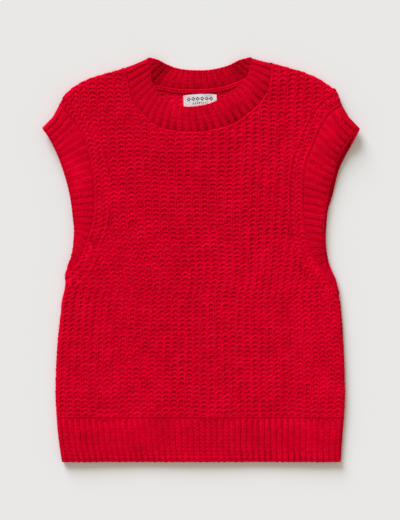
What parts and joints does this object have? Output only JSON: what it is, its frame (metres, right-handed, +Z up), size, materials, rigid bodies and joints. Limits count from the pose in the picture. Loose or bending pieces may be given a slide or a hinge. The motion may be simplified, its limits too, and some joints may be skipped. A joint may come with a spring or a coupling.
{
  "type": "knitted sweater vest laid flat",
  "caption": "Sleeveless chunky-knit pullover vest laid flat, with a ribbed crew neck, ribbed armhole bands, a deep ribbed hem and a bare woven label inside the neck.",
  "frame": {"origin": "on the surface that the vest lies on, under the middle of its bounding box", "axes": "+Z up from the surface, +X to the right as seen from above with the neck away from the viewer, +Y from the hem towards the neck"},
  "size_m": [0.476, 0.606, 0.015],
  "materials": {
    "knit": "matt, slightly fuzzy wool-blend yarn in an openwork half-cardigan stitch",
    "rib": "matt, slightly fuzzy wool-blend yarn in one by one rib",
    "ribbon": "smooth white woven ribbon"
  },
  "bodies": {
    "root": {"front_panel": "knit", "back_panel": "knit", "hem_rib_front": "rib", "hem_rib_back": "rib", "neckband": "rib", "armband_left": "rib", "armband_right": "rib", "neck_label": "ribbon"}
  },
  "joints": []
}
